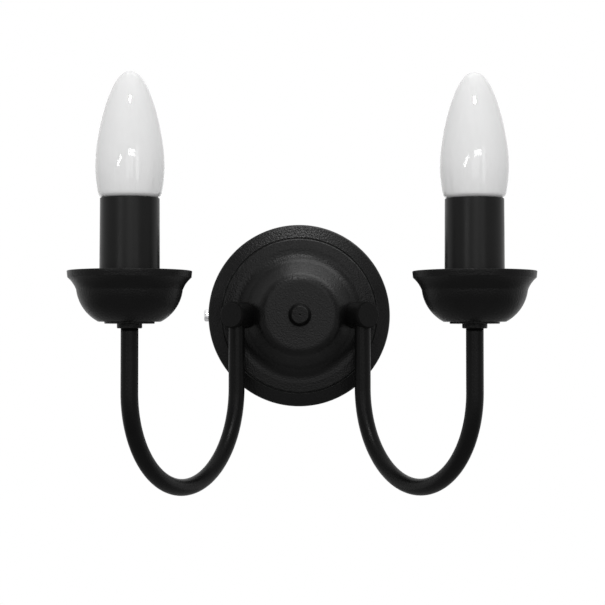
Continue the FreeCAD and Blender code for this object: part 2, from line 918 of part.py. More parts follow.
def make_shell():
    # The holder's brass screw shell, with its thread standing in from the wall.
    height = (shell_turns + 1) * thread_pitch
    start = point(0, 0, shell_bottom)
    tube = bored_rod(shell_diameter / 2, shell_bore / 2, height, start, up)
    first = shell_bottom + thread_pitch / 2
    ridge = thread_ridge(shell_bore / 2, shell_crest / 2, shell_thread_width, shell_turns, first)
    return tube.fuse(ridge)


def make_cap():
    # The bulb's screw cap. Its thread starts half a pitch above the shell's thread, in its groove.
    thread_height = (cap_thread_turns + 1) * thread_pitch
    start = point(0, 0, shell_bottom)
    root = cap_root_diameter / 2
    wide = cap_flange_diameter / 2
    top = bulb_base + cap_length
    tube = bored_rod(root, root - cap_wall, thread_height, start, up)
    skirt_low = top - cap_skirt_length
    skirt_bore = neck_diameter / 2 + fit
    skirt = spun_polygon([
        (root - cap_wall, shell_bottom + thread_height),
        (root, shell_bottom + thread_height),
        (skirt_bore + cap_wall, skirt_low),
        (skirt_bore + cap_wall, top - cap_lip_height),
        (wide, top),
        (wide - cap_wall, top),
        (skirt_bore, top - cap_lip_height),
        (skirt_bore, skirt_low),
    ])
    first = shell_bottom + thread_pitch
    ridge = thread_ridge(root, cap_thread_diameter / 2, cap_thread_width, cap_thread_turns, first)
    return tube.fuse(skirt).removeSplitter().fuse(ridge)


# Bulb.

def bezier(pairs):
    # A smooth curve steered by (radius, height) points. It touches the first and the last.
    curve = Part.BezierCurve()
    curve.setPoles([point(r, 0, z) for r, z in pairs])
    return curve.toShape()


def glass_edges(inset):
    # The glass from its neck to its tip, moved inwards by inset.
    neck = neck_diameter / 2 - inset
    neck_top = neck_bottom + neck_length
    wide = bulb_diameter / 2 - inset
    widest = bulb_base + bulb_widest_height
    tip = bulb_tip - inset
    slant = inset * math.sqrt(0.5)
    straight = Part.LineSegment(point(neck, 0, neck_bottom), point(neck, 0, neck_top)).toShape()
    throat = bezier([
        (neck, neck_top),
        (neck, neck_top + neck_pull),
        (throat_low_pull[0] - slant, bulb_base + throat_low_pull[1] + slant),
        (throat_high_pull[0] - slant, bulb_base + throat_high_pull[1] + slant),
        (wide, widest - belly_low_pull),
        (wide, widest),
    ])
    candle = bezier([
        (wide, widest),
        (wide, widest + belly_high_pull),
        (shoulder_pull_radius - slant, bulb_tip - shoulder_pull_drop - slant),
        (tip_pull - slant, tip),
        (0, tip),
    ])
    return [straight, throat, candle]


def make_glass():
    neck = neck_diameter / 2
    base = Part.LineSegment(point(neck, 0, neck_bottom), point(neck - glass_wall, 0, neck_bottom))
    tip = Part.LineSegment(point(0, 0, bulb_tip), point(0, 0, bulb_tip - glass_wall))
    edges = glass_edges(0) + glass_edges(glass_wall) + [base.toShape(), tip.toShape()]
    return spun(Part.__sortEdges__(edges))


def make_insulator():
    low = tip_contact_diameter / 2
    bottom = bulb_base + tip_contact_height / 2
    top = shell_bottom + thread_pitch / 2
    wide = cap_root_diameter / 2 - cap_wall - fit
    shape = spun_polygon([
        (0, bottom),
        (low + insulator_rim, bottom),
        (insulator_diameter / 2, shell_bottom),
        (wide, shell_bottom),
        (wide, top),
        (0, top),
    ])
    pocket = rod(low + fit, tip_contact_height, point(0, 0, bulb_base), up)
    return shape.cut(pocket)


def make_tip_contact():
    tip = rod(tip_contact_diameter / 2, tip_contact_height, point(0, 0, bulb_base), up)
    low = [e for e in tip.Edges if isinstance(e.Curve, Part.Circle) and e.CenterOfMass.z < bulb_base + 0.1]
    return tip.makeFillet(0.4 * tip_contact_height, low)


def make_stem():
    # The flared glass stem that closes the neck and holds the filament.
    flare = neck_diameter / 2 - glass_wall - fit
    inner = stem_diameter / 2
    return spun_polygon([
        (flare - glass_wall, neck_bottom),
        (flare, neck_bottom),
        (inner, neck_bottom + stem_flare_height),
        (inner, stem_top),
        (0, stem_top),
        (0, stem_top - stem_cap_thickness),
        (inner - glass_wall, stem_top - stem_cap_thickness),
        (inner - glass_wall, neck_bottom + stem_flare_height - glass_wall),
    ])


def make_filament():
    # Two leads that spread from the stem, and the filament's arch between them.
    leads = []
    for direction in (-1, 1):
        corners = [
            point(direction * stem_diameter / 4, 0, stem_top),
            point(direction * stem_diameter / 4, 0, stem_top + lead_foot_length),
            point(direction * filament_span / 2, 0, filament_level - lead_top_length),
            point(direction * filament_span / 2, 0, filament_level),
        ]
        leads.append(swept(rounded_path(corners, [lead_turn_radius, lead_turn_radius]), lead_diameter))
    arch = Part.Arc(
        point(-filament_span / 2, 0, filament_level - lead_diameter / 2),
        point(0, 0, filament_level + filament_rise),
        point(filament_span / 2, 0, filament_level - lead_diameter / 2),
    )
    coil = swept(Part.Wire(arch.toShape()), lead_diameter)
    return leads[0].fuse(leads[1]).fuse(coil)


# Wires, from the terminal block through the knuckle and the arm to the lampholder.

def wire_run(side, lane, pole_height):
    across = lane * (wire_diameter + wire_gap) / 2
    turn_reach = (wire_lane_depth - leg_depth) / math.cos(splay)
    turn = arm_point(side, turn_reach, across, 0)
    bend_bottom = bend_centre_height - bend_radius
    corners = [
        point(side * wire_block_reach, -pole_depth, pole_height),
        point(turn.x, -pole_depth, pole_height),
        point(turn.x, turn.y, 0),
        arm_point(side, 0, across, 0),
        arm_point(side, 0, across, bend_bottom),
        arm_point(side, lamp_reach, across, bend_bottom),
        arm_point(side, lamp_reach, across, wire_spread_start),
        arm_point(side, lamp_reach, lane * terminal_offset, wire_spread_end),
        arm_point(side, lamp_reach, lane * terminal_offset, holder_base_height + wire_entry_length),
    ]
    radii = [
        wire_block_radius,
        wire_turn_radius,
        wire_turn_radius,
        bend_radius,
        bend_radius,
        wire_spread_radius,
        wire_entry_radius,
    ]
    path = rounded_path(corners, radii)
    wire = swept(path, wire_diameter)
    print("wire radii", radii, "volume ratio", wire.Volume / (math.pi * wire_diameter ** 2 / 4 * path.Length))
    return wire


def save(name, shape):
    shape.exportStep("parts/" + name + ".step")


def build_root():
    block = canopy_block(0)
    hollow = canopy_block(-canopy_sheet)
    grown = canopy_block(seat)
    shell = block.cut(hollow)
    save("canopy", make_canopy(block, hollow))
    save("wall_bracket", make_bracket())
    save("cable_bushing", make_bushing())
    save("earth_screw", make_earth_screw())
    save("canopy_side_screw", make_side_screw())
    save("terminal_block", make_terminal_block())
    save("terminal_inserts", make_terminal_inserts())
    save("terminal_screws", make_terminal_screws())
    save("terminal_block_screw", make_block_screw())
    save("centre_button", make_button())
    save("button_washer", make_button_washer())
    save("button_nut", make_button_nut())
    return shell, grown


def build_arm(name, side, shell, grown):
    save(name + "_arm_tube", make_arm_tube(side))
    save(name + "_knuckle", make_knuckle(side, grown, shell))
    save(name + "_knuckle_washer", make_knuckle_washer(side, shell))
    save(name + "_knuckle_nut", make_knuckle_nut(side, shell))
    low_pole, high_pole = pole_heights()
    save(name + "_neutral_wire", wire_run(side, -1, low_pole))
    save(name + "_live_wire", wire_run(side, 1, high_pole))


def build_lamp(name, side):
    pieces = {
        "cup_collar": make_collar(),
        "cup_washer": make_cup_washer(),
        "candle_cup": make_cup(),
        "cup_nut": make_cup_nut(),
        "holder_stirrup": make_stirrup(),
        "lampholder_body": make_holder(),
        "lampholder_shell": make_shell(),
        "lampholder_contact": make_contact(),
        "lampholder_screws": make_holder_screws(),
        "candle_sleeve": make_sleeve(),
        "bulb_tip_contact": make_tip_contact(),
        "bulb_insulator": make_insulator(),
        "bulb_cap": make_cap(),
        "bulb_glass": make_glass(),
        "bulb_stem": make_stem(),
        "bulb_filament": make_filament(),
    }
    for piece, shape in pieces.items():
        save(name + "_" + piece, on_lamp(shape, side))


os.makedirs("parts", exist_ok=True)
canopy_shell, grown_canopy = build_root()
for name, side in (("left", -1), ("right", 1)):
    build_arm(name, side, canopy_shell, grown_canopy)
    build_lamp(name, side)
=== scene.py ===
import json
import math
import bpy
import numpy as np
from mathutils import Matrix, Quaternion, Vector


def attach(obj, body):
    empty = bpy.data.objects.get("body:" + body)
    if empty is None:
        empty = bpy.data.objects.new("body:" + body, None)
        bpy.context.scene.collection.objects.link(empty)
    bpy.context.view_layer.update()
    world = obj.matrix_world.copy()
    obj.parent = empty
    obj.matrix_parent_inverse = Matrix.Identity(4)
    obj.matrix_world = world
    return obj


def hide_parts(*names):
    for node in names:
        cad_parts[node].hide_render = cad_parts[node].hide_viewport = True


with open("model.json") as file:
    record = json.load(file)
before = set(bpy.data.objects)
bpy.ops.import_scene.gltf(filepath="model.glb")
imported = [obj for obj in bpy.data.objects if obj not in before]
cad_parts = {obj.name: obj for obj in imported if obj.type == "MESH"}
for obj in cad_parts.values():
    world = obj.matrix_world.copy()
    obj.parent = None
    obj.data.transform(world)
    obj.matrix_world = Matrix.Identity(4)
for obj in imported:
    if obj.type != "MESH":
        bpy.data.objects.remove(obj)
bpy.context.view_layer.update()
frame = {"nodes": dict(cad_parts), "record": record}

nodes = frame["nodes"]
sides = {"left": -1, "right": 1}
mm = 0.001
print("frame loaded with", len(nodes), "nodes")

# The arms' plan, in millimetres, which places the cups, sleeves and bulbs.
plan = {
    "legOffset": 35.3,
    "legDepth": 24.0,
    "splay": math.radians(30.5),
    "bendRadius": 51.5,
    "bendCentre": -40.9,
}
upWay = np.array([0.0, 0.0, 1.0])
frontWay = np.array([0.0, -1.0, 0.0])
rightWay = np.array([1.0, 0.0, 0.0])


def armWay(side):
    return np.array([side * math.sin(plan["splay"]), -math.cos(plan["splay"]), 0.0])


def legSpot(side):
    return np.array([side * plan["legOffset"], -plan["legDepth"], 0.0])


def lampSpot(side):
    return legSpot(side) + 2 * plan["bendRadius"] * armWay(side)


# Shapes. A profile is a list of (radius, height) points in millimetres.

def cornerArc(before, corner, after, radius, steps):
    # The corner is cut back by radius * tan(turn / 2) each way. An arc about a centre on its bisector joins the cuts.
    back = (before - corner) / np.linalg.norm(before - corner)
    ahead = (after - corner) / np.linalg.norm(after - corner)
    turn = math.pi - math.acos(float(np.clip(back @ ahead, -1, 1)))
    inward = (back + ahead) / np.linalg.norm(back + ahead)
    sideways = (ahead - back) / np.linalg.norm(ahead - back)
    centre = corner + inward * radius / math.cos(turn / 2)
    swing = np.linspace(-turn / 2, turn / 2, steps)[:, None]
    return centre - radius * np.cos(swing) * inward + radius * np.sin(swing) * sideways


def straightRun(start, end, step, guard):
    # Points spaced along a line, with one close to each end so that the shading stays flat up to the arcs.
    length = float(np.linalg.norm(end - start))
    if length < 2.5 * guard:
        return np.empty((0, 2))
    inner = np.linspace(guard, length - guard, max(2, int(length / step) + 1))[:, None]
    return start + (end - start) / length * inner


def roundedProfile(corners, radii, step=1.2, guard=0.06, steps=9):
    # Straight runs joined by tangent arcs, one radius for each inner corner.
    corners = np.asarray(corners, float)
    bends = [cornerArc(a, b, c, r, steps) for a, b, c, r in zip(corners, corners[1:], corners[2:], radii)]
    stops = [corners[:1]] + bends + [corners[-1:]]
    rows = [stops[0]]
    for last, following in zip(stops, stops[1:]):
        rows += [straightRun(last[-1], following[0], step, guard), following]
    return np.vstack(rows)


def movedIn(corners, distance):
    # Each side of the open outline slides along its normal by distance, and neighbouring sides meet again.
    corners = np.asarray(corners, float)
    along = np.diff(corners, axis=0)
    along /= np.linalg.norm(along, axis=1, keepdims=True)
    normal = np.stack([-along[:, 1], along[:, 0]], 1)
    shared = normal[:-1] + normal[1:]
    shared *= (distance / np.sum(shared * normal[1:], axis=1))[:, None]
    return np.vstack([corners[0] + distance * normal[0], corners[1:-1] + shared, corners[-1] + distance * normal[-1]])


def bezierCurve(poles, steps):
    # Sum of binomial(n, k) * (1 - t)^(n - k) * t^k * pole k, at even values of t.
    poles = np.asarray(poles, float)
    order = len(poles) - 1
    t = np.linspace(0, 1, steps)[:, None]
    return sum(math.comb(order, k) * (1 - t) ** (order - k) * t ** k * pole for k, pole in enumerate(poles))


def sharpness(profile, closed):
    # How fast the outline turns outwards at each point, from 0 on flats to 1 on tight edges.
    leastSpan, fullTurn = 0.05, 1.6
    ahead = np.roll(profile, -1, 0) - profile
    back = profile - np.roll(profile, 1, 0)
    angle = np.arctan2(back[:, 0] * ahead[:, 1] - back[:, 1] * ahead[:, 0], np.sum(back * ahead, 1))
    span = 0.5 * (np.linalg.norm(ahead, axis=1) + np.linalg.norm(back, axis=1))
    turn = angle / np.maximum(span, leastSpan)
    if not closed:
        turn[[0, -1]] = 0
    area = np.sum(profile[:, 0] * np.roll(profile[:, 1], -1) - np.roll(profile[:, 0], -1) * profile[:, 1])
    return np.clip(turn * (1 if area > 0 else -1) / fullTurn, 0, 1)


def gridPiece(name, grid, edge, wrapRows, body, material, stands):
    # Rows run along the profile and columns round it. A row on the axis becomes one point.
    rows, columns = grid.shape[:2]
    smallest = 1e-9
    flatRow = np.ptp(grid, axis=1).max(1) < smallest
    counts = np.where(flatRow, 1, columns)
    starts = np.concatenate([[0], np.cumsum(counts)[:-1]])
    index = starts[:, None] + np.where(flatRow[:, None], 0, np.arange(columns)[None, :])
    keep = ~(flatRow[:, None] & (np.arange(columns)[None, :] > 0))
    points = grid[keep]
    edges = np.repeat(edge, columns).reshape(rows, columns)[keep]
    following = np.roll(index, -1, 1)
    last = rows if wrapRows else rows - 1
    lower, upper = index[np.arange(last)], index[(np.arange(last) + 1) % rows]
    lowerNext, upperNext = following[np.arange(last)], following[(np.arange(last) + 1) % rows]
    quads = np.stack([lower, lowerNext, upperNext, upper], -1).reshape(-1, 4)
    # Each quad adds the volumes that its two triangles span with the origin. Below 0 the faces look inward.
    first, second, third, fourth = points[quads].transpose(1, 0, 2)
    volume = np.sum(np.cross(first, second) * third) + np.sum(np.cross(first, third) * fourth)
    if volume < 0:
        quads = quads[:, ::-1]
    low = quads[:, 0] == quads[:, 1]
    high = quads[:, 2] == quads[:, 3]
    ahead = quads[:, 1] == quads[:, 2]
    behind = quads[:, 3] == quads[:, 0]
    faces = quads[~(low | high | ahead | behind)].tolist()
    for flat, drop in ((low, 1), (high, 3), (ahead, 2), (behind, 0)):
        faces += np.delete(quads[flat], drop, 1).tolist()
    mesh = bpy.data.meshes.new(name)
    mesh.from_pydata(points.tolist(), [], faces)
    # Edge sharpness is kept on the mesh. The coats paint sharp edges lighter from it, partly as rubbed wear and
    # partly as a painted highlight.
    edgeRubAndHighlight = mesh.attributes.new("edge", "FLOAT", "POINT")
    edgeRubAndHighlight.data.foreach_set("value", edges.astype(np.float32))
    mesh.shade_smooth()
    piece = bpy.data.objects.new(name, mesh)
    bpy.context.scene.collection.objects.link(piece)
    mesh.materials.append(material)
    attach(piece, body)
    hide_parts(*stands)


def spunGrid(profile, spot, axis, count, waver=0.0):
    # P(u, v) = spot + axis * height(u) + radius(u) * (cos v * first + sin v * second), with a slow waver in radius.
    folds, phase, heightScale = 3, 0.7, 7
    first = np.cross(axis, rightWay if abs(axis @ rightWay) < 0.9 else upWay)
    first /= np.linalg.norm(first)
    second = np.cross(axis, first)
    around = np.linspace(0, 2 * math.pi, count, endpoint=False)
    ring = np.cos(around)[:, None] * first + np.sin(around)[:, None] * second
    wave = np.cos(folds * around + phase)[None, :] * np.cos(profile[:, 1:] / heightScale)
    radius = profile[:, :1] - waver * (1 + wave) / 2
    radius = np.where(profile[:, :1] > 0, np.maximum(radius, 0), 0)
    return mm * (np.asarray(spot) + profile[:, 1:, None] * axis + radius[:, :, None] * ring[None])


def carriedGrid(path, normal, binormal, radius, count):
    # P(u, v) = path(u) + radius(u) * (cos v * normal(u) + sin v * binormal).
    around = np.linspace(0, 2 * math.pi, count, endpoint=False)
    ring = np.cos(around)[None, :, None] * normal[:, None, :] + np.sin(around)[None, :, None] * binormal
    return mm * (path[:, None, :] + radius[:, None, None] * ring)


# Finishes.

def newMaterial(name, **fixed):
    material = bpy.data.materials.new(name)
    material.use_nodes = True
    shader = material.node_tree.nodes["Principled BSDF"]
    for socket, value in fixed.items():
        shader.inputs[socket.replace("_", " ")].default_value = value
    return material, shader


def addNode(material, kind, settings=None, **inputs):
    # A shader node. Inputs given as sockets are linked, and other values are set. i0, i1 and so on count the inputs.
    node = material.node_tree.nodes.new(kind)
    for key, value in (settings or {}).items():
        setattr(node, key, value)
    for socket, value in inputs.items():
        numbered = socket[0] == "i" and socket[1:].isdigit()
        wanted = node.inputs[int(socket[1:]) if numbered else socket.replace("_", " ")]
        if isinstance(value, bpy.types.NodeSocket):
            material.node_tree.links.new(value, wanted)
        else:
            wanted.default_value = value
    return node


def objectPlace(material):
    return addNode(material, "ShaderNodeTexCoord").outputs["Object"]


def noiseOf(material, place, scale, detail=2.0, roughness=0.5):
    noise = addNode(material, "ShaderNodeTexNoise", Vector=place, Scale=scale, Detail=detail, Roughness=roughness)
    return noise.outputs["Fac"]


def stretched(material, value, low, high, newLow, newHigh):
    limits = {"From_Min": low, "From_Max": high, "To_Min": newLow, "To_Max": newHigh}
    return addNode(material, "ShaderNodeMapRange", Value=value, **limits).outputs["Result"]


def glossOf(material, slow, smoothest, roughest):
    # Noise lies mostly between 0.3 and 0.7, which becomes the range of roughness.
    return stretched(material, slow, 0.3, 0.7, smoothest, roughest)


def mathOf(material, operation, *values):
    numbered = {f"i{place}": value for place, value in enumerate(values)}
    return addNode(material, "ShaderNodeMath", {"operation": operation}, **numbered).outputs[0]


def mapped(material, place, **change):
    return addNode(material, "ShaderNodeMapping", Vector=place, **change).outputs["Vector"]


def bumped(material, height, distance, strength, invert=False, **under):
    # Height from 0 to 1 rises by distance in metres, over the bump given as Normal.
    facts = {"Height": height, "Distance": distance, "Strength": strength, **under}
    return addNode(material, "ShaderNodeBump", {"invert": invert}, **facts).outputs["Normal"]


def mixedColor(material, share, first, second):
    node = addNode(material, "ShaderNodeMix", {"data_type": "RGBA"})
    for socket, value in ((0, share), (6, first), (7, second)):
        if isinstance(value, bpy.types.NodeSocket):
            material.node_tree.links.new(value, node.inputs[socket])
        else:
            node.inputs[socket].default_value = value
    return node.outputs[2]


def grey(value):
    return (value, value, value, 1.0)


def finished(material, shader, color, gloss, normal):
    for socket, value in (("Base Color", color), ("Roughness", gloss), ("Normal", normal)):
        material.node_tree.links.new(value, shader.inputs[socket])
    return material


coat = {
    "dark": 0.002,
    "light": 0.004,
    # Edge colour: rubbed coat, and also a painted highlight on sharp edges.
    "worn": 0.012,
    "smoothest": 0.30,
    "roughest": 0.37,
    "pebbleScale": 1150.0,
    "pebbleHeight": 0.00015,
    "dustScale": 3300.0,
    "dustHeight": 0.00003,
    "slowScale": 55.0,
    "patchScale": 240.0,
    "level": 0.09,
}


def powderCoat(name, facts, shift):
    # Black powder coat: rounded pebbles, a finer dust on them, slow changes of gloss, and sharp edges painted lighter
    # in patches, partly as rubbed wear and partly as a painted highlight where edges catch the light.
    material, shader = newMaterial(name, Specular_IOR_Level=facts["level"])
    place = mapped(material, objectPlace(material), Location=(shift, 2 * shift, 0))
    pebbles = addNode(material, "ShaderNodeTexVoronoi", {"feature": "SMOOTH_F1"},
                      Vector=place, Scale=facts["pebbleScale"], Smoothness=0.7).outputs["Distance"]
    dust = noiseOf(material, place, facts["dustScale"], detail=3.0)
    slow = noiseOf(material, place, facts["slowScale"], detail=4.0, roughness=0.6)
    low = bumped(material, pebbles, facts["pebbleHeight"], strength=0.9, invert=True)
    high = bumped(material, dust, facts["dustHeight"], strength=0.8, Normal=low)
    edge = addNode(material, "ShaderNodeAttribute", {"attribute_name": "edge"}).outputs["Fac"]
    # Noise above 0.62 is a patch of lighter edge, rubbed wear together with a painted edge highlight, and below 0.42
    # none.
    patches = stretched(material, noiseOf(material, place, facts["patchScale"], detail=3.0), 0.42, 0.62, 0.0, 1.0)
    base = mixedColor(material, slow, grey(facts["dark"]), grey(facts["light"]))
    # In these patches sharp edges take the lighter colour, partly rubbed coat and partly a painted edge highlight.
    color = mixedColor(material, mathOf(material, "MULTIPLY", edge, patches), base, grey(facts["worn"]))
    return finished(material, shader, color, glossOf(material, slow, facts["smoothest"], facts["roughest"]), high)


# Knuckle: its front face lies 6 mm beyond the leg's axis, with a chamfer 0.9 mm deep round it.

knuckle = {"front": 6.0, "chamfer": 0.9, "margin": 0.05}


def dullChamfer(material, facts):
    # The front chamfer is dull. It is found by the distance along the barrel's axis, the same on both sides.
    shader = material.node_tree.nodes["Principled BSDF"]
    spot = addNode(material, "ShaderNodeSeparateXYZ", Vector=objectPlace(material)).outputs
    way = armWay(1)
    across = mathOf(material, "MULTIPLY", mathOf(material, "ABSOLUTE", spot["X"]), float(way[0]))
    forward = mathOf(material, "MULTIPLY", spot["Y"], float(way[1]))
    along = mathOf(material, "ADD", across, forward)
    front = mm * (float(legSpot(1) @ way) + facts["front"])
    beforeFace = mathOf(material, "LESS_THAN", along, front - mm * facts["margin"])
    pastBarrel = mathOf(material, "GREATER_THAN", along, front - mm * facts["chamfer"])
    gloss = shader.inputs["Roughness"].links[0].from_socket
    rough = mathOf(material, "MAXIMUM", gloss, mathOf(material, "MULTIPLY", beforeFace, pastBarrel))
    material.node_tree.links.new(rough, shader.inputs["Roughness"])
    return material


candleSleeve = {
    "dark": 0.0035,
    "light": 0.006,
    "smoothest": 0.28,
    "roughest": 0.35,
    "grainScale": 2600.0,
    "grainHeight": 0.00003,
    "bandScale": (25, 25, 420),
    "bandHeight": 0.00003,
    "slowScale": 90.0,
    "level": 0.12,
}


def mouldedBlack(name, facts):
    # Moulded black plastic: an even fine grain and faint flow bands round the piece.
    material, shader = newMaterial(name, Specular_IOR_Level=facts["level"])
    place = objectPlace(material)
    slow = noiseOf(material, place, facts["slowScale"], detail=3.0)
    flow = noiseOf(material, mapped(material, place, Scale=facts["bandScale"]), scale=1.0)
    grain = bumped(material, noiseOf(material, place, facts["grainScale"]), facts["grainHeight"], strength=0.8)
    swell = bumped(material, flow, facts["bandHeight"], strength=0.4, Normal=grain)
    color = mixedColor(material, slow, grey(facts["dark"]), grey(facts["light"]))
    return finished(material, shader, color, glossOf(material, slow, facts["smoothest"], facts["roughest"]), swell)


opal = {
    "white": 0.7,
    "clear": 0.72,
    "smoothest": 0.008,
    "roughest": 0.02,
    "cloudScale": 38.0,
    "rippleScale": 24.0,
    "rippleHeight": 0.0001,
    "scatter": 0.0008,
    "level": 0.4,
}


def opalGlass(name, facts):
    # Opal glass: milky, smooth and glossy, with a faint unevenness in the white and in the surface.
    milk = {"Subsurface_Weight": 1.0, "Subsurface_Radius": (1.0, 1.0, 1.0), "Subsurface_Scale": facts["scatter"]}
    material, shader = newMaterial(name, IOR=1.5, Specular_IOR_Level=facts["level"], **milk)
    place = objectPlace(material)
    cloud = noiseOf(material, place, facts["cloudScale"], detail=3.0)
    swell = noiseOf(material, place, facts["rippleScale"], detail=1.0)
    ripple = bumped(material, swell, facts["rippleHeight"], strength=0.2)
    color = mixedColor(material, cloud, grey(facts["white"]), grey(facts["clear"]))
    return finished(material, shader, color, glossOf(material, cloud, facts["smoothest"], facts["roughest"]), ripple)


def bareMetal(name, color, smoothest, roughest, scratchHeight=0.000008, stain=0.8):
    # Plated or plain metal: fine crossed scratches, and a slow stain that dulls it in places.
    material, shader = newMaterial(name, Metallic=1.0)
    place = objectPlace(material)
    strokes = [noiseOf(material, mapped(material, place, Scale=scale), scale=1.0, detail=3.0)
               for scale in ((5200, 500, 500), (600, 600, 5200))]
    scratches = bumped(material, mathOf(material, "ADD", *strokes), scratchHeight, strength=0.7)
    slow = noiseOf(material, place, scale=260.0, detail=4.0)
    darker = tuple(stain * part for part in color)
    mixed = mixedColor(material, slow, (*color, 1.0), (*darker, 1.0))
    return finished(material, shader, mixed, glossOf(material, slow, smoothest, roughest), scratches)


def plainPlastic(name, color, smoothest, roughest, grainScale=1800.0, grainHeight=0.00002, shade=0.85, **fixed):
    # Moulded plastic, rubber or insulation: a fine grain and slight changes of shade.
    material, shader = newMaterial(name, **fixed)
    place = objectPlace(material)
    grain = bumped(material, noiseOf(material, place, grainScale), grainHeight, strength=0.7)
    slow = noiseOf(material, place, scale=160.0, detail=3.0)
    darker = tuple(shade * part for part in color)
    mixed = mixedColor(material, slow, (*color, 1.0), (*darker, 1.0))
    return finished(material, shader, mixed, glossOf(material, slow, smoothest, roughest), grain)


# Of each metal and plastic: its colour, then its least and greatest roughness.

finishes = {
    "black_coat": powderCoat("hardwareCoat", coat, shift=0.0),
    "sleeve_plastic": mouldedBlack("sleevePlastic", candleSleeve),
    "opal_glass": opalGlass("opalGlass", opal),
    "screw_chrome": bareMetal("screwChrome", (0.78, 0.78, 0.79), 0.08, 0.2),
    "zinc_steel": bareMetal("zincSteel", (0.55, 0.57, 0.59), 0.28, 0.42),
    "terminal_brass": bareMetal("terminalBrass", (0.75, 0.56, 0.24), 0.22, 0.38),
    "cap_nickel": bareMetal("capNickel", (0.66, 0.66, 0.64), 0.16, 0.3),
    "tip_solder": bareMetal("tipSolder", (0.58, 0.58, 0.6), 0.35, 0.5, scratchHeight=0.00002),
    "filament_wire": bareMetal("filamentWire", (0.28, 0.28, 0.3), 0.4, 0.5),
    "cap_insulator": plainPlastic("capInsulator", (0.012, 0.012, 0.016), 0.08, 0.16, grainScale=600.0),
    "holder_plastic": plainPlastic("holderPlastic", (0.02, 0.02, 0.02), 0.4, 0.55),
    "terminal_plastic": plainPlastic("terminalPlastic", (0.7, 0.68, 0.61), 0.4, 0.55),
    "bushing_rubber": plainPlastic("bushingRubber", (0.02, 0.02, 0.02), 0.6, 0.75),
    "neutral_insulation": plainPlastic("neutralInsulation", (0.02, 0.09, 0.4), 0.3, 0.4),
    "live_insulation": plainPlastic("liveInsulation", (0.17, 0.065, 0.025), 0.3, 0.4),
    "stem_glass": plainPlastic("stemGlass", (0.9, 0.92, 0.92), 0.03, 0.06, grainScale=300.0, Transmission_Weight=0.9),
}
knuckleCoat = dullChamfer(powderCoat("knuckleCoat", coat, shift=1.5), knuckle)
slotOf = {part["node"]: part["material_slot"] for part in frame["record"]["subparts"]}
weldGap = 0.000002
splitAngle = math.radians(32)
for name, node in nodes.items():
    for place in node.material_slots:
        place.material = knuckleCoat if name.endswith("_knuckle") else finishes[slotOf[name]]
    node.data.shade_smooth()
    weld = node.modifiers.new("weld", "WELD")
    weld.merge_threshold = weldGap
    split = node.modifiers.new("split", "EDGE_SPLIT")
    split.split_angle = splitAngle
print("finishes assigned")


# Canopy: a pressed sheet cover. Only the wall behind its flank is thicker than the sheet.

canopy = {
    "radius": 51.75,
    "depth": 27.5,
    "sheet": 1.0,
    "rimHeight": 8.6,
    "stepRadius": 43.4,
    "stepFoot": 11.1,
    "stepHeight": 1.3,
    "stepSlope": 0.3,
    "grooveWidth": 0.7,
    "grooveDepth": 0.8,
    "grooveLip": 0.2,
    "beadInner": 38.4,
    "beadRise": 0.5,
    "domeFoot": 32.6,
    "domeFootDepth": 12.9,
    "domeFace": 21.8,
    "hole": 2.75,
    "backLedge": (36.3, 12.7),
    "backFoot": (30.0, 9.8),
    "backFace": 20.8,
    "outerRounds": (1.5, 0.4, 0.3, 0.7, 3.0, 8.0, 7.0),
    "innerRounds": (0.5, 0.2, 0.4, 0.3, 2.0, 6.5, 4.0),
    "waver": 0.04,
    "count": 224,
}


def makeCanopy(facts, material):
    stepEdge = facts["stepRadius"] + facts["stepSlope"]
    stepTop = facts["stepFoot"] + facts["stepHeight"]
    corners = [
        (facts["radius"], 0.0),
        (facts["radius"], facts["rimHeight"]),
        (stepEdge + facts["grooveWidth"], facts["stepFoot"] - facts["grooveLip"]),
        (stepEdge, facts["stepFoot"] - facts["grooveDepth"]),
        (facts["stepRadius"], stepTop),
        (facts["beadInner"], stepTop + facts["beadRise"]),
        (facts["domeFoot"], facts["domeFootDepth"]),
        (facts["domeFace"], facts["depth"]),
        (facts["hole"], facts["depth"]),
    ]
    outer = roundedProfile(corners, facts["outerRounds"])
    # Behind the dome the wall follows the solid's, on which the knuckles' washers sit.
    dome = [facts["backLedge"], facts["backFoot"], (facts["backFace"], facts["depth"])]
    inner = roundedProfile(movedIn([*corners[:5], *dome, corners[-1]], facts["sheet"]), facts["innerRounds"])
    loop = np.vstack([outer, inner[::-1]])
    grid = spunGrid(loop, (0, 0, 0), frontWay, facts["count"], facts["waver"])
    gridPiece("canopyCover", grid, sharpness(loop, True), True, "root", material, ["canopy"])


makeCanopy(canopy, powderCoat("canopyCoat", {**coat, "level": 0.12}, shift=0.3))
print("canopy made")


# Candle cups: spun from sheet, a bulging bowl, a cove and an upright lip with a turned edge.

cup = {
    "underside": -5.0,
    "sheet": 0.9,
    "hole": 4.05,
    "floor": 15.85,
    "bowlRadius": 21.0,
    "waist": 26.9,
    "waistHeight": 16.1,
    "cove": 28.3,
    "coveHeight": 18.9,
    "lipFoot": 31.35,
    "lipFootHeight": 22.4,
    "rim": 31.67,
    "height": 25.8,
    "edge": 0.3,
    "bowlSteps": 40,
    "coveSteps": 16,
    "edgeSteps": 9,
    "waver": 0.05,
    "count": 176,
}


def arcThrough(first, middle, last, steps):
    # The circle through three points: its centre is equally far from all of them.
    first, middle, last = (np.asarray(p, float) for p in (first, middle, last))
    system = 2 * np.array([middle - first, last - first])
    centre = np.linalg.solve(system, [middle @ middle - first @ first, last @ last - first @ first])
    angles = np.unwrap([math.atan2(*(p - centre)[::-1]) for p in (first, middle, last)])
    swing = np.linspace(angles[0], angles[2], steps)
    return centre + np.linalg.norm(first - centre) * np.stack([np.cos(swing), np.sin(swing)], 1)


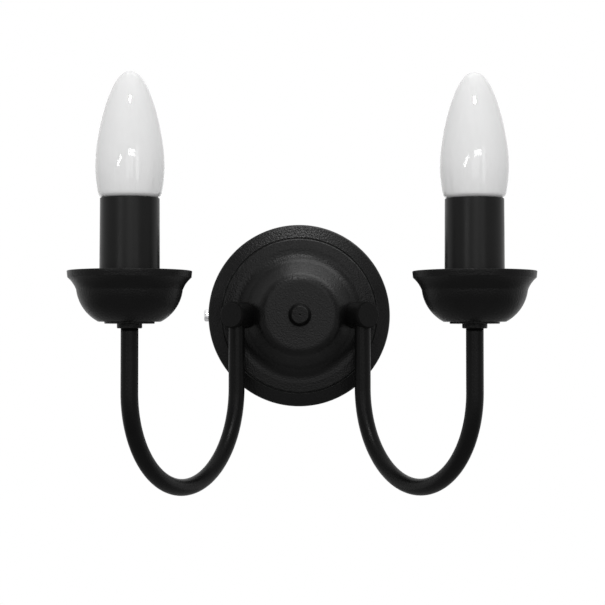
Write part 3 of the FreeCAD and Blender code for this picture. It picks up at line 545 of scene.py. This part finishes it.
def makeCup(name, side, facts, material):
    floor, waist = facts["floor"], facts["waist"]
    half = math.hypot(waist - floor, facts["waistHeight"]) / 2
    bulge = facts["bowlRadius"] - math.sqrt(facts["bowlRadius"] ** 2 - half ** 2)
    slope = math.atan2(facts["waistHeight"], waist - floor)
    belly = ((floor + waist) / 2 + bulge * math.sin(slope), facts["waistHeight"] / 2 - bulge * math.cos(slope))
    waistSpot = (waist, facts["waistHeight"])
    coveSpot = (facts["cove"], facts["coveHeight"])
    lipSpot = (facts["lipFoot"], facts["lipFootHeight"])
    edgeFoot = facts["height"] - facts["edge"]
    outer = np.vstack([
        straightRun(np.array([facts["hole"], 0.0]), np.array([floor, 0.0]), step=2.0, guard=0.05),
        arcThrough((floor, 0.0), belly, waistSpot, facts["bowlSteps"]),
        arcThrough(waistSpot, coveSpot, lipSpot, facts["coveSteps"])[1:],
        straightRun(np.array(lipSpot), np.array([facts["rim"], edgeFoot]), step=0.8, guard=0.05),
    ])
    along = np.gradient(outer, axis=0)
    along /= np.linalg.norm(along, axis=1, keepdims=True)
    inner = outer + facts["sheet"] * np.stack([-along[:, 1], along[:, 0]], 1)
    inner[:, 0] = np.maximum(inner[:, 0], facts["hole"])
    inner[:, 1] = np.minimum(np.maximum(inner[:, 1], facts["sheet"]), edgeFoot)
    middle = (outer[-1] + inner[-1]) / 2
    swing = np.linspace(0, math.pi, facts["edgeSteps"])[1:-1]
    edge = middle + np.stack([(outer[-1] - inner[-1])[0] / 2 * np.cos(swing), facts["edge"] * np.sin(swing)], 1)
    loop = np.vstack([outer, edge, inner[::-1]])
    loop[:, 1] += facts["underside"]
    grid = spunGrid(loop, lampSpot(side), upWay, facts["count"], facts["waver"])
    stands = [name + "_candle_cup"]
    gridPiece(name + "CandleCup", grid, sharpness(loop, True), True, "root", material, stands)


# Arm tubes: a half circle between two straight legs, with a bore.

armTube = {
    "radius": 4.5,
    "bore": 3.0,
    "thread": 4.0,
    "threadChamfer": 0.5,
    "threadTop": 4.6,
    "top": -3.4,
    "collarBottom": -8.4,
    "legSteps": 16,
    "bendSteps": 97,
    "count": 40,
}


def makeArm(name, side, facts, material):
    # Down the wall leg, round the half circle and up the lamp leg, in the arm's own upright plane.
    bend = plan["bendRadius"]
    swing = np.linspace(0, math.pi, facts["bendSteps"])
    legDown = np.linspace(facts["top"], plan["bendCentre"], facts["legSteps"])[:-1]
    legUp = np.linspace(plan["bendCentre"], facts["collarBottom"], facts["legSteps"])[1:]
    thread = np.array([facts["collarBottom"], facts["threadTop"] - facts["threadChamfer"], facts["threadTop"]])
    reach = np.concatenate([0 * legDown, bend - bend * np.cos(swing), 2 * bend + 0 * legUp, 2 * bend + 0 * thread])
    height = np.concatenate([legDown, plan["bendCentre"] - bend * np.sin(swing), legUp, thread])
    end = 2 * math.pi
    out = np.concatenate([0 * legDown + math.pi, math.pi + swing, 0 * legUp + end, 0 * thread + end])
    shell = np.full(len(reach), facts["radius"])
    shell[-len(thread):] = [facts["thread"], facts["thread"], facts["thread"] - facts["threadChamfer"]]
    # The bore goes back along the same path.
    order = np.concatenate([np.arange(len(reach)), np.arange(len(reach))[::-1]])
    radius = np.concatenate([shell, np.full(len(reach), facts["bore"])])
    reach, height, out = reach[order], height[order], out[order]
    way = armWay(side)
    path = legSpot(side) + reach[:, None] * way + height[:, None] * upWay
    normal = np.cos(out)[:, None] * way + np.sin(out)[:, None] * upWay
    grid = carriedGrid(path, normal, np.cross(way, upWay), radius, facts["count"])
    stands = [name + "_arm_tube"]
    gridPiece(name + "ArmTube", grid, np.zeros(len(reach)), True, "root", material, stands)


# Candle sleeves: moulded tubes with a slight taper and a rounded mouth.

sleeve = {
    "bottom": -4.1,
    "top": 57.7,
    "bottomRadius": 15.4,
    "topRadius": 15.1,
    "wall": 0.7,
    "softBottom": 0.1,
    "softMouth": 0.4,
    "waver": 0.03,
    "count": 128,
}


def makeSleeve(name, side, facts, material):
    low, high, wall = facts["bottomRadius"], facts["topRadius"], facts["wall"]
    bottom, top = facts["bottom"], facts["top"]
    corners = [(low - wall, bottom), (low, bottom), (high, top), (high - wall, top)]
    outside = roundedProfile(corners, (facts["softBottom"], facts["softMouth"]), step=3.0, guard=0.05, steps=7)
    inside = straightRun(np.array(corners[3]), np.array(corners[0]), step=4.0, guard=0.05)
    loop = np.vstack([outside, inside])
    grid = spunGrid(loop, lampSpot(side), upWay, facts["count"], facts["waver"])
    stands = [name + "_candle_sleeve"]
    gridPiece(name + "CandleSleeve", grid, sharpness(loop, True), True, "root", material, stands)


# Bulbs: the opal candle shape, an outer and an inner skin. Two curves make it, each steered by its poles.

bulb = {
    "tip": 122.4,
    "widest": 74.0,
    "radius": 17.5,
    "wall": 0.8,
    "neck": 7.7,
    "neckBottom": 44.5,
    "neckTop": 47.0,
    "neckGap": 0.4,
    "throatRise": 8.8,
    "throatOuter": (21.1, 63.5),
    "throatInner": (12.4, 54.9),
    "throatEnd": 15.4,
    "throatSteps": 56,
    "candleRise": 15.2,
    "candleShoulder": (12.5, 108.0),
    "candleTip": 7.8,
    "candleSteps": 64,
    "count": 128,
}


def glassProfile(facts, inset):
    # A straight neck, a throat that opens to the widest level, and the candle up to the tip.
    neck, wide, tip = facts["neck"] - inset, facts["radius"] - inset, facts["tip"] - inset
    neckTop, widest = facts["neckTop"], facts["widest"]
    slant = inset * math.sqrt(0.5)
    opened = np.array([-slant, slant])
    straight = np.array([(neck, facts["neckBottom"]), (neck, neckTop - facts["neckGap"])])
    throat = bezierCurve([
        (neck, neckTop),
        (neck, neckTop + facts["throatRise"]),
        facts["throatOuter"] + opened,
        facts["throatInner"] + opened,
        (wide, widest - facts["throatEnd"]),
        (wide, widest),
    ], facts["throatSteps"])
    candle = bezierCurve([
        (wide, widest),
        (wide, widest + facts["candleRise"]),
        facts["candleShoulder"] - np.array([slant, slant]),
        (facts["candleTip"] - slant, tip),
        (0, tip),
    ], facts["candleSteps"])
    return np.vstack([straight, throat, candle[1:]])


def makeGlass(name, side, facts, material):
    loop = np.vstack([glassProfile(facts, 0.0)[::-1], glassProfile(facts, facts["wall"])])
    grid = spunGrid(loop, lampSpot(side), upWay, facts["count"])
    stands = [name + "_bulb_glass"]
    gridPiece(name + "BulbGlass", grid, np.zeros(len(loop)), False, name + "_bulb", material, stands)


cupCoat = powderCoat("cupCoat", coat, shift=0.6)
armCoat = powderCoat("armCoat", {**coat, "level": 0.07, "pebbleHeight": 0.00008}, shift=0.9)
for name, side in sides.items():
    makeCup(name, side, cup, cupCoat)
    makeArm(name, side, armTube, armCoat)
    makeSleeve(name, side, sleeve, finishes["sleeve_plastic"])
    makeGlass(name, side, bulb, finishes["opal_glass"])
print("cups, arms, sleeves and bulbs made")


# Centre button: a turned stud with a flared foot, a small flat face and a centre mark.

button = {
    "foot": 6.4,
    "face": 4.6,
    "height": 5.2,
    "footHeight": 1.6,
    "dimple": 0.6,
    "dimpleDepth": 0.5,
    "stem": 2.5,
    "stemEnd": -8.0,
    "rounds": (0.15, 0.45, 0.5, 0.1, 0.1, 0.3),
    "count": 96,
}


def makeButton(facts, material):
    face = facts["height"]
    corners = [
        (0.0, face - facts["dimpleDepth"]),
        (facts["dimple"], face),
        (facts["face"], face),
        (facts["foot"], facts["footHeight"]),
        (facts["foot"], 0.0),
        (facts["stem"], 0.0),
        (facts["stem"], facts["stemEnd"]),
        (0.0, facts["stemEnd"]),
    ]
    outline = roundedProfile(corners, facts["rounds"], step=0.8, guard=0.04, steps=7)
    grid = spunGrid(outline, (0, -canopy["depth"], 0), frontWay, facts["count"])
    edge = sharpness(outline, False)
    gridPiece("centreButton", grid, edge, False, "root", material, ["centre_button"])


makeButton(button, powderCoat("buttonCoat", coat, shift=1.2))


# Collar and washer under each cup.

collar = {
    "bottom": -8.4,
    "height": 2.4,
    "radius": 6.4,
    "bore": 4.05,
    "washerRadius": 12.7,
    "washerHeight": 1.0,
    "softCollar": 0.55,
    "softWasher": 0.25,
    "softInner": 0.12,
    "count": 96,
}


def makeCollar(name, side, facts, material):
    low, high = facts["bottom"], facts["bottom"] + facts["height"]
    pieces = {
        "CupCollar": (low, high, facts["radius"], facts["softCollar"], "_cup_collar"),
        "CupWasher": (high, high + facts["washerHeight"], facts["washerRadius"], facts["softWasher"], "_cup_washer"),
    }
    for word, (bottom, top, radius, soft, node) in pieces.items():
        corners = [(facts["bore"], bottom), (radius, bottom), (radius, top), (facts["bore"], top)]
        outline = roundedProfile(corners, (soft, facts["softInner"]), step=0.8, guard=0.04, steps=7)
        grid = spunGrid(outline, lampSpot(side), upWay, facts["count"])
        gridPiece(name + word, grid, sharpness(outline, True), True, "root", material, [name + node])


for name, side in sides.items():
    makeCollar(name, side, collar, cupCoat)
print("button, collars and washers made")


# Camera, at the photograph's distance and height, turned slightly right and up. Its aim is in pixels.

camera = {
    "spot": (-0.015, -0.96275, -0.0168),
    "focal": 1676.0,
    "frame": 605.0,
    "rightPixels": 29.6,
    "upPixels": 42.5,
    "sensor": 36.0,
}
cameraData = bpy.data.cameras.new("camera")
cameraData.sensor_width = camera["sensor"]
cameraData.lens = camera["sensor"] * camera["focal"] / camera["frame"]
cameraObject = bpy.data.objects.new("camera", cameraData)
aim = Vector((camera["rightPixels"], camera["focal"], camera["upPixels"]))
cameraObject.location = camera["spot"]
cameraObject.rotation_euler = aim.to_track_quat("-Z", "Y").to_euler()
bpy.context.scene.collection.objects.link(cameraObject)
bpy.context.scene.camera = cameraObject


# Light: a small bright key high in front, wide weak panels, and two small panes that the bulbs mirror.

panels = {
    "key": {"turn": 0, "rise": 46, "far": 1.7, "wide": 0.32, "tall": 0.16, "glow": 84.0, "roll": 0},
    "ceiling": {"turn": -6, "rise": 102, "far": 1.3, "wide": 0.9, "tall": 0.5, "glow": 1.2, "roll": 0},
    "camera": {"turn": 0, "rise": 4, "far": 2.0, "wide": 0.8, "tall": 0.7, "glow": 1.4, "roll": 0},
    "side": {"turn": 27, "rise": 6, "far": 2.0, "wide": 0.35, "tall": 1.0, "glow": 2.2, "roll": 0},
    "pane": {"turn": -32, "rise": 9, "far": 2.0, "wide": 0.6, "tall": 0.17, "glow": 11.0, "roll": 30},
    "strip": {"turn": 8, "rise": 16, "far": 2.2, "wide": 0.9, "tall": 0.19, "glow": 8.0, "roll": 0},
}
lightMiddle = Vector((0.0, -0.06, 0.01))


def hangLamp(name, facts, back, rotation):
    # A rectangle of light. Seen from the front its radiance is glow: power = glow * pi * area.
    lamp = bpy.data.lights.new(name, "AREA")
    lamp.shape = "RECTANGLE"
    lamp.size, lamp.size_y = facts["wide"], facts["tall"]
    lamp.energy = facts["glow"] * math.pi * facts["wide"] * facts["tall"]
    holder = bpy.data.objects.new(name, lamp)
    holder.location = lightMiddle + facts["far"] * back
    holder.rotation_euler = rotation
    bpy.context.scene.collection.objects.link(holder)
    return holder


for name, facts in panels.items():
    turn, rise = math.radians(facts["turn"]), math.radians(facts["rise"])
    back = Vector((math.sin(turn) * math.cos(rise), -math.cos(turn) * math.cos(rise), math.sin(rise)))
    roll = Quaternion((0, 0, 1), math.radians(facts["roll"]))
    hangLamp(name, facts, back, (back.to_track_quat("Z", "Y") @ roll).to_euler())


# A soft box above the canopy, which its dome mirrors. The lamps, cups and bulbs are screened from it.

softBox = {"around": 18, "behind": -0.08, "far": 1.2, "wide": 1.5, "tall": 1.0, "glow": 4.9}
around = math.radians(softBox["around"])
level = math.sqrt(1 - softBox["behind"] ** 2)
back = Vector((level * math.sin(around), softBox["behind"], level * math.cos(around)))
across = Vector((math.cos(around), 0.0, -math.sin(around)))
boxHolder = hangLamp("softBox", softBox, back, Matrix((across, back.cross(across), back)).transposed().to_euler())
lit = bpy.data.collections.new("litBySoftBox")
for name in ("canopyCover", "centreButton"):
    lit.objects.link(bpy.data.objects[name])
boxHolder.light_linking.receiver_collection = lit


# Daylight: white where it is seen or mirrored. What it lights gets more of it from behind than from the front.

daylight = {"front": 0.4, "behind": 1.08}
world = bpy.data.worlds.new("studio")
bpy.context.scene.world = world
world.use_nodes = True
world.node_tree.nodes.clear()
rays = addNode(world, "ShaderNodeLightPath").outputs
seen = mathOf(world, "MAXIMUM", rays["Is Camera Ray"], rays["Is Glossy Ray"])
seenBent = mathOf(world, "MAXIMUM", seen, rays["Is Transmission Ray"])
wayOut = addNode(world, "ShaderNodeTexCoord").outputs["Generated"]
depth = addNode(world, "ShaderNodeSeparateXYZ", Vector=wayOut).outputs["Y"]
sky = stretched(world, depth, -1.0, 1.0, daylight["front"], daylight["behind"])
fill = addNode(world, "ShaderNodeBackground", Strength=sky).outputs[0]
shown = addNode(world, "ShaderNodeBackground", Color=grey(1.0), Strength=1.0).outputs[0]
blend = addNode(world, "ShaderNodeMixShader", Fac=seenBent, i1=fill, i2=shown).outputs[0]
addNode(world, "ShaderNodeOutputWorld", Surface=blend)


# Floor: a pale disc far below the light.

disc = {"radius": 4.0, "level": -1.5, "base": 0.7, "roughness": 0.9, "count": 96}
floorMaterial = newMaterial("paleFloor", Base_Color=grey(disc["base"]), Roughness=disc["roughness"])[0]
around = np.linspace(0, 2 * math.pi, disc["count"], endpoint=False)
rim = [(disc["radius"] * math.cos(a), disc["radius"] * math.sin(a), disc["level"]) for a in around]
floorMesh = bpy.data.meshes.new("floor")
floorMesh.from_pydata(rim, [], [list(range(disc["count"]))])
floorMesh.materials.append(floorMaterial)
floor = bpy.data.objects.new("floor", floorMesh)
bpy.context.scene.collection.objects.link(floor)
bpy.context.scene.view_settings.view_transform = "Standard"
print("camera, light and floor set")
